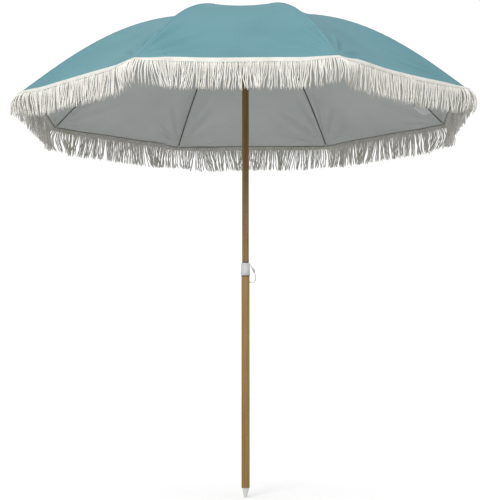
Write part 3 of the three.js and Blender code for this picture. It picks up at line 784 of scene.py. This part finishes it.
STRAND_SPANS = 11
STRAND_SIDES = 5
LEAN_LENGTH = 0.12
RANDOM_LEAN = 0.10
CURL = 0.0034
WAVE = 0.0022
SWING = 0.0040
STRAND_LAYERS = (0.0, 0.0012, -0.0022)  # how far outward of the rest a strand hangs
STRAND_INSET = 0.0012  # how far inward of the cloth's edge the strands start


def strand_stock():
    """A straight cord of unit length and radius, with its length and turn as a map."""
    bm = bmesh.new()
    bmesh.ops.create_cone(
        bm, cap_ends=True, segments=STRAND_SIDES, radius1=1, radius2=1, depth=1,
        matrix=Matrix.Translation((0, 0, 0.5)),
    )
    for span in range(1, STRAND_SPANS):
        everything = bm.verts[:] + bm.edges[:] + bm.faces[:]
        height = span / STRAND_SPANS
        bmesh.ops.bisect_plane(bm, geom=everything, plane_co=(0, 0, height), plane_no=(0, 0, 1))
    twist = bm.loops.layers.uv.new("twist")
    for face in bm.faces:
        middle = face.calc_center_median()
        centre_turn = math.atan2(middle.y, middle.x) / math.tau
        for loop in face.loops:
            turn = math.atan2(loop.vert.co.y, loop.vert.co.x) / math.tau
            turn += round(centre_turn - turn)
            loop[twist].uv = (loop.vert.co.z * STRAND_END, turn)
    mesh = bpy.data.meshes.new("strand_stock")
    bm.to_mesh(mesh)
    bm.free()
    return mesh


def strand_path(a):
    """One strand's course, as a function of the share of its length, and the way along the edge."""
    point, out, ahead, fall = edge_frame(a)
    sway = noise.noise(Vector((a * 9.0, 1.3, 0.0))) * 0.55
    sway += noise.noise(Vector((a * 38.0, 4.1, 0.0))) * 0.30
    from_corner = abs(a - round(a)) * 2
    lean = sway * min(1.0, 0.15 + 4 * from_corner) + rng.uniform(-RANDOM_LEAN, RANDOM_LEAN)
    curl = rng.uniform(-1, 1) * CURL
    wave = rng.uniform(-1, 1) * WAVE
    phase = rng.uniform(0, math.tau)
    swing = rng.uniform(-1, 1) * SWING
    first, last, turn = fall
    looser = (first, last + math.radians(rng.uniform(-9, 7)), turn * rng.uniform(0.85, 1.2))
    end = STRAND_END * rng.uniform(0.95, 1.02)
    layer = rng.choice(STRAND_LAYERS)

    def spot(share):
        far = STRAND_START + (end - STRAND_START) * share
        reach, down = drape(far, looser)
        free = max(0.0, (far - BAND_HEIGHT) / STRAND_END)
        side = lean * LEAN_LENGTH * free**1.3 + curl * math.sin(phase + share * 6.0) * free
        side += wave * math.sin(2 * phase + share * 15.0) * min(1.0, 3 * free)
        reach += layer * min(1.0, 6 * free) + swing * math.sin(phase + share * 6.0) * free
        return point + out * (reach - STRAND_INSET) + ahead * side - Vector((0, 0, down))

    return spot, ahead


def fringe_strands(index, side, stock):
    """The strands of half an edge, from a rib's tip to the middle of the panel."""
    bm = bmesh.new()
    bm.loops.layers.uv.new("twist")
    count = round(HALF_EDGE / STRAND_PITCH)
    for number in range(count):
        share = (number + 0.5 + rng.uniform(-0.3, 0.3)) / count
        spot, ahead = strand_path(index + side * 0.5 * share)
        radius = STRAND_RADIUS * rng.uniform(0.85, 1.15)
        start = len(bm.verts)
        bm.from_mesh(stock)
        bm.verts.ensure_lookup_table()
        for vert in bm.verts[start:]:
            x, y, far = vert.co
            width = radius * (0.55 if far > 0.999 else 1.0)
            below = spot(min(1.0, far + 0.02)) - spot(max(0.0, far - 0.02))
            front = ahead.cross(below).normalized()
            vert.co = spot(far) + (ahead * x + front * y) * width
    name = f"fringe_strands_{half_name(side)}_{index + 1}"
    return add_piece(name, bm, f"fringe_{index + 1}", "fringe_cotton")


def fold_fringe(piece, index, side):
    """Gives half an edge of fringe its own mesh. It works out how far the fringe would reach towards
    its rib's tip with the canopy shut, but nothing moves the piece.
    """
    outward, across = rib_axes(index)
    tip = outward * CANOPY_RADIUS + Vector((0, 0, RIM_HEIGHT))
    middle = canopy_point(1.0, index + side * 0.5)
    reach = middle - tip
    inward = reach.dot(outward)
    sideways = reach.dot(across)
    turned_by = math.radians(FOLD_ANGLE - FLEX_ANGLE)
    closed = outward * inward * math.cos(turned_by) + across * sideways * CLOSED_CLOTH
    closed.z = -inward * math.sin(turned_by)
    reach.z = 0
    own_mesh(piece)


def edge_pieces(index):
    made = []
    for side in (-1, 1):
        for piece in (fringe_band(index, side), fringe_strands(index, side, STRAND_STOCK)):
            fold_fringe(piece, index, side)
            made.append(piece)
    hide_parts(f"fringe_{index + 1}")
    return made


STRAND_STOCK = strand_stock()


# ---- Ribs, struts, hub and runner ---------------------------------------------------------


RIB_SLOPE = math.radians(39)  # at its tip
TIP_CAP_RADIUS = 0.0042
TIP_CAP_STRETCH = (2.1, 1.0, 0.9)
TIP_CAP_INSET = 0.011
TIP_CAP_LIFT = 0.0032


def rib_tip_cap(index):
    """The small cap on the end of a rib, in its pocket under the hem."""
    bm = bmesh.new()
    outward, _ = rib_axes(index)
    angle = rib_angle(index)
    bmesh.ops.create_uvsphere(bm, u_segments=16, v_segments=10, radius=TIP_CAP_RADIUS)
    bmesh.ops.scale(bm, vec=TIP_CAP_STRETCH, verts=bm.verts)
    bmesh.ops.rotate(bm, matrix=Matrix.Rotation(RIB_SLOPE, 3, "Y"), verts=bm.verts)
    bmesh.ops.rotate(bm, matrix=Matrix.Rotation(angle, 3, "Z"), verts=bm.verts)
    spot = outward * (CANOPY_RADIUS - TIP_CAP_INSET)
    spot.z = RIM_HEIGHT + TIP_CAP_LIFT
    bmesh.ops.translate(bm, vec=spot, verts=bm.verts)
    return add_piece(f"rib_tip_{index + 1}", bm, f"rib_end_{index + 1}", "white_plastic")


STEEL_EDGE = 0.0004  # how far an edge is rounded
PLASTIC_EDGE = 0.0003
COLLAR_EDGE = 0.0005


def frame_pieces():
    for index in range(RIBS):
        number = index + 1
        refined_copy(f"rib_inner_{number}", f"rib_{number}", "rib_steel", STEEL_EDGE)
        refined_copy(f"rib_outer_{number}", f"rib_end_{number}", "rib_steel", STEEL_EDGE)
        refined_copy(f"strut_{number}", f"strut_{number}", "rib_steel", STEEL_EDGE)
        rib_tip_cap(index)
    refined_copy("crown", "upper_pole", "white_plastic", PLASTIC_EDGE)
    refined_copy("runner", "runner", "white_plastic", PLASTIC_EDGE)
    bright = (("crown_wire", "upper_pole"), ("runner_wire", "runner"), ("catch_spring", "catch"))
    for node, body in bright:
        refined_copy(node, body, "bright_steel", 0.0, 60)
    refined_copy("tube_bush", "upper_pole", "white_plastic", PLASTIC_EDGE)


# ---- Pole ---------------------------------------------------------------------------------


def tube_outline(outer, inner, bottom, top, lip):
    """A tube's wall with rounded ends, as a closed outline."""
    points = [(inner, bottom + lip)]
    points += arc(inner + lip, bottom + lip, lip, 180, 270, 4)[1:]
    points += arc(outer - lip, bottom + lip, lip, 270, 360, 4)
    points += arc(outer - lip, top - lip, lip, 0, 90, 4)
    points += arc(inner + lip, top - lip, lip, 90, 180, 4)
    points.append((inner, bottom + lip))
    return points


LOWER_WALL = 0.0015
UPPER_WALL = 0.0012
TUBE_LIP = 0.0004
SPIKE_TIP_RADIUS = 0.0055
SPIKE_TOP_RADIUS = 0.0135
SPIKE_ROUNDING = 0.0015
RING_SINK = 0.0001  # a ring's edges lie this far below the tube's surface
RING_PROUD = 0.0002
# Dark bands of painted shade beside the collar: name, the tube's radius, lower edge, height, body
RINGS = (
    # painted shadow that the collar casts on the lower tube
    ("collar_shadow_band", LOWER_RADIUS, COLLAR_LOW.z - 0.0052, 0.0050, "lower_pole"),
    # painted shade in the gap where the upper tube enters the collar
    ("collar_gap_shade_band", UPPER_RADIUS, COLLAR_HIGH.z + 0.0006, 0.0058, "upper_pole"),
)


def pole_pieces():
    turned_piece(
        "lower_pole_tube",
        tube_outline(LOWER_RADIUS, LOWER_RADIUS - LOWER_WALL, TUBE_LOW.z, TUBE_HIGH.z, TUBE_LIP),
        "lower_pole", "wood_look", "lower_tube",
    )
    turned_piece(
        "upper_pole_tube",
        tube_outline(UPPER_RADIUS, UPPER_RADIUS - UPPER_WALL, UPPER_LOW.z, UPPER_HIGH.z, TUBE_LIP),
        "upper_pole", "wood_look", "upper_tube",
    )
    end, top = SPIKE_TIP_RADIUS, SPIKE_TOP_RADIUS
    spike_top = TUBE_LOW.z - 0.0003
    outline = [(0.0, 0.0)]
    outline += arc(end - SPIKE_ROUNDING, SPIKE_ROUNDING, SPIKE_ROUNDING, 270, 340, 5)
    outline += [(end + (top - end) * 0.5, spike_top * 0.5)]
    outline += [(top - 0.0004, spike_top - 0.002), (top, spike_top)]
    outline += [(SPIKE_HIGH.x, spike_top + 0.004), (SPIKE_HIGH.x, SPIKE_HIGH.z)]
    outline += [(0.0, SPIKE_HIGH.z)]
    turned_piece("ground_spike_tip", outline, "lower_pole", "spike_plastic", "ground_spike")
    refined_copy("pole_collar", "lower_pole", "white_plastic", COLLAR_EDGE, 40, dissolve=False)
    # the dark bands of painted shade beside the collar
    for name, radius, start, height, body in RINGS:
        inner, outer, end = radius - RING_SINK, radius + RING_PROUD, start + height
        outline = [(inner, start), (outer, start + RING_PROUD)]
        outline += [(outer, end - RING_PROUD), (inner, end)]
        turned_piece(name, outline + outline[:1], body, "painted_collar_shade")
    refined_copy("lock_clip", "lock_clip", "bright_steel", 0.0, 80)


PATCH_RADIUS = 0.044
PATCH_LIFT = 0.0008
PATCH_THICKNESS = 0.0005


def top_pieces():
    base = RIM_HEIGHT + CANOPY_RISE + 0.0003
    outline = [(0.0, base - 0.024), (0.004, base - 0.024), (0.004, base), (0.0185, base)]
    outline += arc(0.0185, base + 0.0015, 0.0015, 270, 360, 4)
    outline += [(0.0196, base + 0.0030), (0.0150, base + 0.0048), (0.0100, base + 0.0062)]
    outline += [(0.0085, base + 0.0080), (0.0085, base + 0.0150)]
    outline += arc(0.0, base + 0.0135, 0.0085, 15, 90, 8)
    turned_piece("top_cap_knob", outline, "upper_pole", "white_plastic", "top_cap")
    bm = bmesh.new()
    bmesh.ops.create_circle(bm, cap_ends=True, cap_tris=True, segments=64, radius=PATCH_RADIUS)
    bmesh.ops.subdivide_edges(bm, edges=bm.edges, cuts=3, use_grid_fill=True)
    for vert in bm.verts:
        rise = CANOPY_RISE * rib_share(vert.co.xy.length / CANOPY_RADIUS)
        vert.co.z = RIM_HEIGHT + rise + PATCH_LIFT
    bmesh.ops.solidify(bm, geom=bm.faces[:], thickness=PATCH_THICKNESS)
    bmesh.ops.recalc_face_normals(bm, faces=bm.faces)
    flat = bm.loops.layers.uv.new("flat")
    for face in bm.faces:
        for loop in face.loops:
            loop[flat].uv = (loop.vert.co.x, loop.vert.co.y + 0.1)
    add_piece("canopy_patch", bm, "upper_pole", "cloth_outside", smooth_angle=60)


# ---- Stage --------------------------------------------------------------------------------


def soft_light(name, location, target, size, power):
    data = bpy.data.lights.new(name, "AREA")
    data.shape = "DISK"
    data.size = size
    data.energy = power
    lamp = bpy.data.objects.new(name, data)
    bpy.context.scene.collection.objects.link(lamp)
    lamp.location = location
    way = Vector(target) - Vector(location)
    lamp.rotation_euler = way.to_track_quat("-Z", "Y").to_euler()


FLOOR_RADIUS = 60
FLOOR_BOUNCE = 0.42  # the floor looks white and gives back less light
FLOOR_WHITE = 0.95
SKY_STRENGTH = 1.05
KEY_PLACE = (-1.1, -5.2, 3.4)
KEY_TARGET = (0, 0, 1.1)
KEY_SIZE = 2.0
KEY_POWER = 150


def make_stage():
    bm = bmesh.new()
    bmesh.ops.create_circle(bm, cap_ends=True, segments=96, radius=FLOOR_RADIUS)
    mesh = bpy.data.meshes.new("floor")
    bm.to_mesh(mesh)
    bm.free()
    floor = bpy.data.objects.new("floor", mesh)
    bpy.context.scene.collection.objects.link(floor)
    paint = bpy.data.materials.new("floor_paint")
    paint.use_nodes = True
    tree = paint.node_tree
    shader = tree.nodes["Principled BSDF"]
    shader.inputs["Roughness"].default_value = 1.0
    shader.inputs["Specular IOR Level"].default_value = 0.0
    path = tree.nodes.new("ShaderNodeLightPath")
    tone = tree.nodes.new("ShaderNodeMapRange")
    tree.links.new(path.outputs["Is Camera Ray"], tone.inputs["Value"])
    tone.inputs["To Min"].default_value = FLOOR_BOUNCE
    tone.inputs["To Max"].default_value = FLOOR_WHITE
    tree.links.new(tone.outputs["Result"], shader.inputs["Base Color"])
    mesh.materials.append(paint)
    world = bpy.context.scene.world or bpy.data.worlds.new("world")
    bpy.context.scene.world = world
    world.use_nodes = True
    backdrop = world.node_tree.nodes["Background"]
    backdrop.inputs["Color"].default_value = (1, 1, 1, 1)
    backdrop.inputs["Strength"].default_value = SKY_STRENGTH
    soft_light("key", KEY_PLACE, KEY_TARGET, KEY_SIZE, KEY_POWER)
    bpy.context.scene.view_settings.view_transform = "Standard"


# ---- Build --------------------------------------------------------------------------------

canopy_pieces()
frame_pieces()
pole_pieces()
top_pieces()
make_stage()
